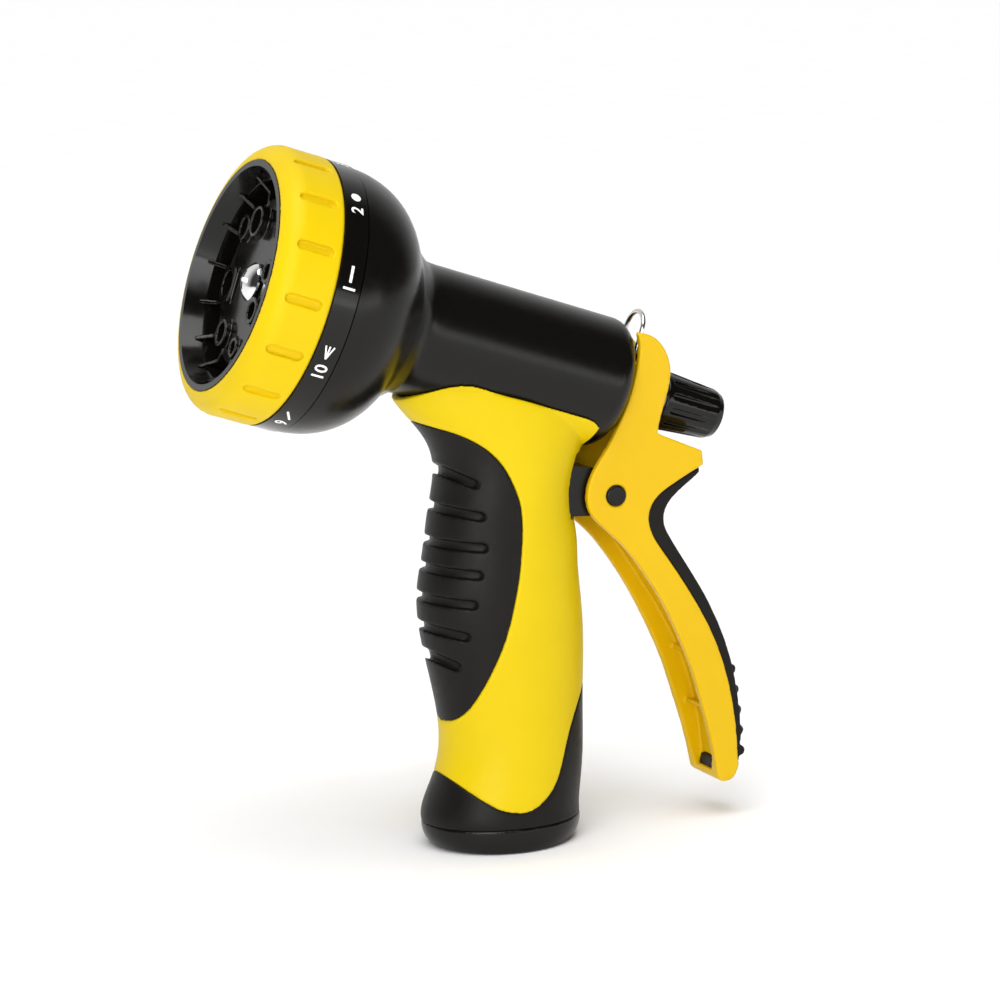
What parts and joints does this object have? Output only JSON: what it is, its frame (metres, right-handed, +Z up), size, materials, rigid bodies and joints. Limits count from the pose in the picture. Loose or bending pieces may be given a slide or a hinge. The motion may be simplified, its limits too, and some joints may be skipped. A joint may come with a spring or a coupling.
{
  "type": "hose spray nozzle",
  "caption": "Garden hose spray nozzle with a turning pattern dial, a rear squeeze lever, a flow knob and a threaded hose inlet in the foot of its handle.",
  "frame": {"origin": "centre of the hose inlet's mouth, at the bottom of the handle", "axes": "+Z up the handle along the inlet's axis, -X towards the dial and the water's way out, +Y across, with the nozzle symmetric about Y=0 but for its pattern holes"},
  "size_m": [0.1391, 0.066, 0.1748],
  "materials": {
    "black_plastic": "satin black moulded plastic",
    "gloss_black": "glossy black moulded plastic",
    "black_rubber": "matt black soft-touch rubber",
    "yellow_shell": "satin yellow",
    "yellow_ring": "satin yellow soft-touch",
    "yellow_lever": "semi-gloss yellow",
    "brass": "turned",
    "chrome": "polished",
    "spring_steel": "drawn wire",
    "seal_rubber": "smooth",
    "white_plastic": "natural"
  },
  "bodies": {
    "body": {"barrel_housing": "black_plastic", "grip_shell": "yellow_shell", "finger_grip": "black_rubber", "base_collar": "black_rubber", "end_cap": "black_plastic", "thread_insert": "brass", "hose_washer": "seal_rubber", "pivot_pin": "black_plastic", "valve_seat": "brass", "seat_retainer": "white_plastic", "gland_nut": "brass", "gland_seal": "seal_rubber", "valve_spring": "spring_steel", "port_plate": "black_plastic", "screw_insert": "brass", "port_seal": "seal_rubber", "port_spring": "spring_steel", "detent_ball": "spring_steel", "detent_spring": "spring_steel", "centre_screw": "chrome"},
    "dial": {"dial_shell": "gloss_black", "grip_ring": "yellow_ring", "pattern_plate": "gloss_black", "chamber_plate": "white_plastic"},
    "lever": {"lever": "yellow_lever", "lever_pad": "black_rubber"},
    "stem": {"valve_stem": "brass", "valve_seal": "seal_rubber"},
    "knob_washer": {"knob_washer": "spring_steel"},
    "flow_knob": {"flow_knob": "gloss_black", "knob_insert": "brass"},
    "bail": {"wire_bail": "spring_steel"}
  },
  "joints": [
    {"name": "dial_spin", "type": "hinge", "parent": "body", "child": "dial", "pos_m": [-0.0567, 0, 0.14193], "axis": [0.9449, 0, -0.3272], "continuous": true},
    {"name": "lever_squeeze", "type": "hinge", "parent": "body", "child": "lever", "pos_m": [0.0287, 0, 0.0852], "axis": [0, 1, 0], "range_deg": [0, 21], "stiffness_Nm_per_rad": 1.2, "springref_deg": -20.05},
    {"name": "stem_slide", "type": "slide", "parent": "body", "child": "stem", "axis": [0.9449, 0, -0.3272], "range_m": [0, 0.0096], "deforming": ["valve_spring"]},
    {"name": "knob_travel", "type": "slide", "parent": "stem", "child": "knob_washer", "axis": [0.9449, 0, -0.3272], "range_m": [0, 0.0017]},
    {"name": "knob_turn", "type": "hinge", "parent": "knob_washer", "child": "flow_knob", "pos_m": [0.04725, 0, 0.10594], "axis": [0.9449, 0, -0.3272], "range_deg": [0, 720]},
    {"name": "bail_swing", "type": "hinge", "parent": "body", "child": "bail", "pos_m": [0.0375, 0, 0.11905], "axis": [0, 1, 0], "range_deg": [0, 75]}
  ],
  "couplings": [
    {"joint": "stem_slide", "follows": "lever_squeeze", "m_per_rad": 0.0257},
    {"joint": "knob_travel", "follows": "knob_turn", "m_per_rad": 0.000127}
  ]
}
